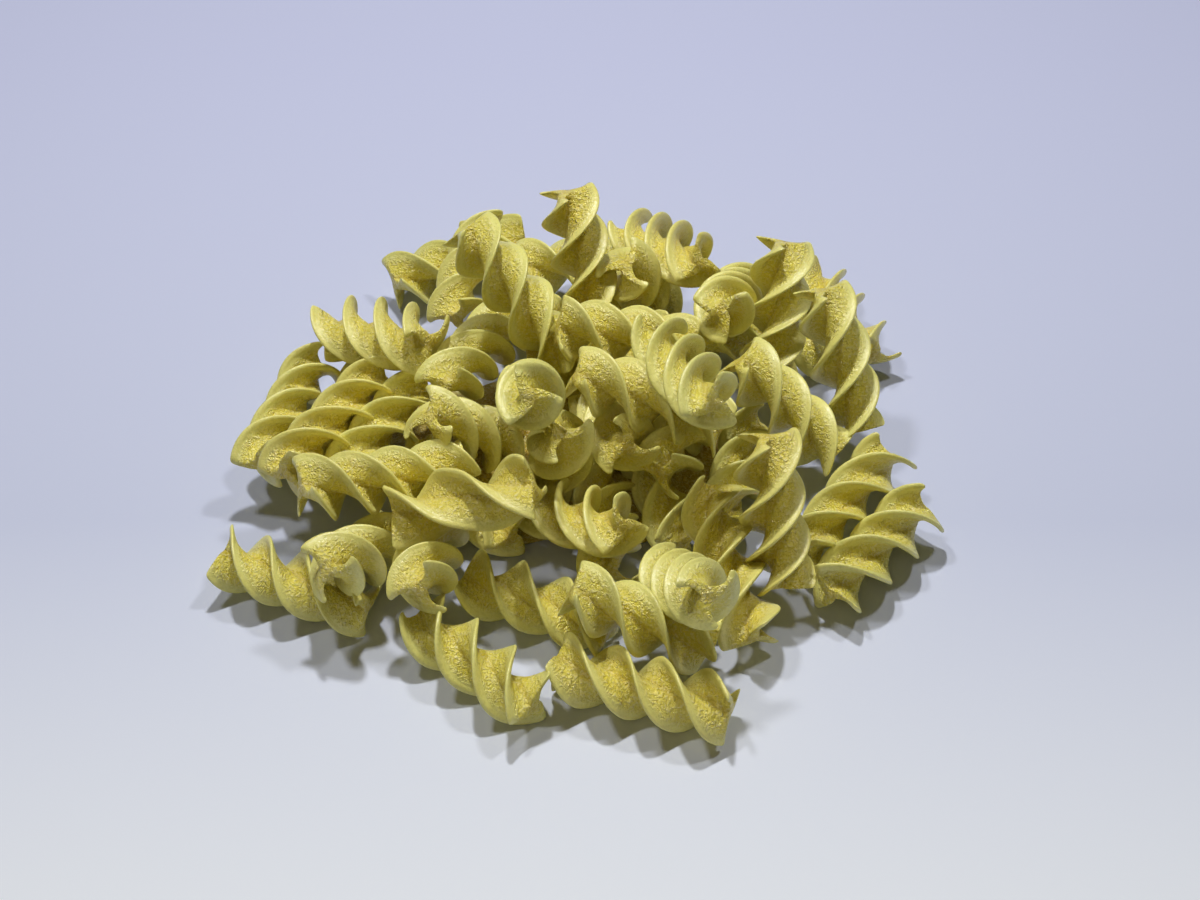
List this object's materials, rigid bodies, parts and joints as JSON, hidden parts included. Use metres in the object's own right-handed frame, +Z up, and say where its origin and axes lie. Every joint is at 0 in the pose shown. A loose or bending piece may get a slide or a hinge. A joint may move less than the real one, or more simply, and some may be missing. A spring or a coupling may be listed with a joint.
{
  "type": "heap of dry fusilli pasta",
  "caption": "Low loose heap of dry fusilli, short twists of pale yellow pasta with three curled blades, some lying, some leaning or on end, round a small hollow in front.",
  "frame": {"origin": "on the surface the heap lies on, under the middle of its bounding box", "axes": "+Z up, +Y away from the viewer of the picture, +X to the viewer's right"},
  "size_m": [0.1452, 0.1442, 0.0512],
  "materials": {
    "dry_pasta": "dry uncooked pasta, pale greenish yellow, finely wrinkled faces and smoother paler blade edges, faintly satin"
  },
  "bodies": {
    "root": {"fusilli_heap": "dry_pasta"}
  },
  "joints": []
}
